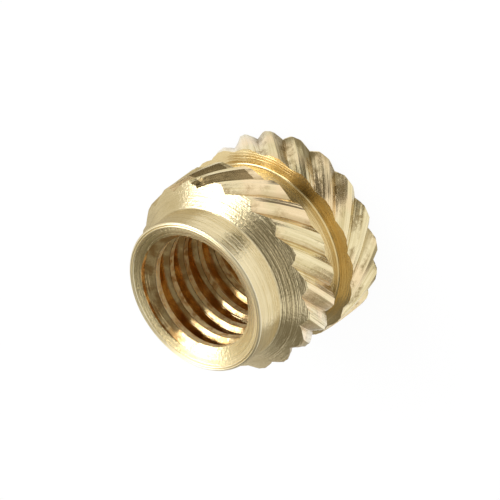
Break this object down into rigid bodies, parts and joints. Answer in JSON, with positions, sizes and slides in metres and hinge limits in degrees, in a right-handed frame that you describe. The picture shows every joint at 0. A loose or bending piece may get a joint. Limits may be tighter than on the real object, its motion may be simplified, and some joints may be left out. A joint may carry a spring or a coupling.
{
  "type": "threaded insert",
  "caption": "Brass knurled threaded insert for plastic, with a through metric thread, a smooth pilot collar, a shoulder cone and two knurl bands of opposite hand.",
  "frame": {"origin": "centre of the knurled end face, on the insert's axis, where it stands", "axes": "+Z along the axis from the knurled end to the smooth pilot collar's rim; +X and +Y are free, as the insert is round"},
  "size_m": [0.0044, 0.0044, 0.0036],
  "materials": {
    "brass": "satin, as turned, with fine turning marks"
  },
  "bodies": {
    "root": {"threaded_insert": "brass"}
  },
  "joints": []
}
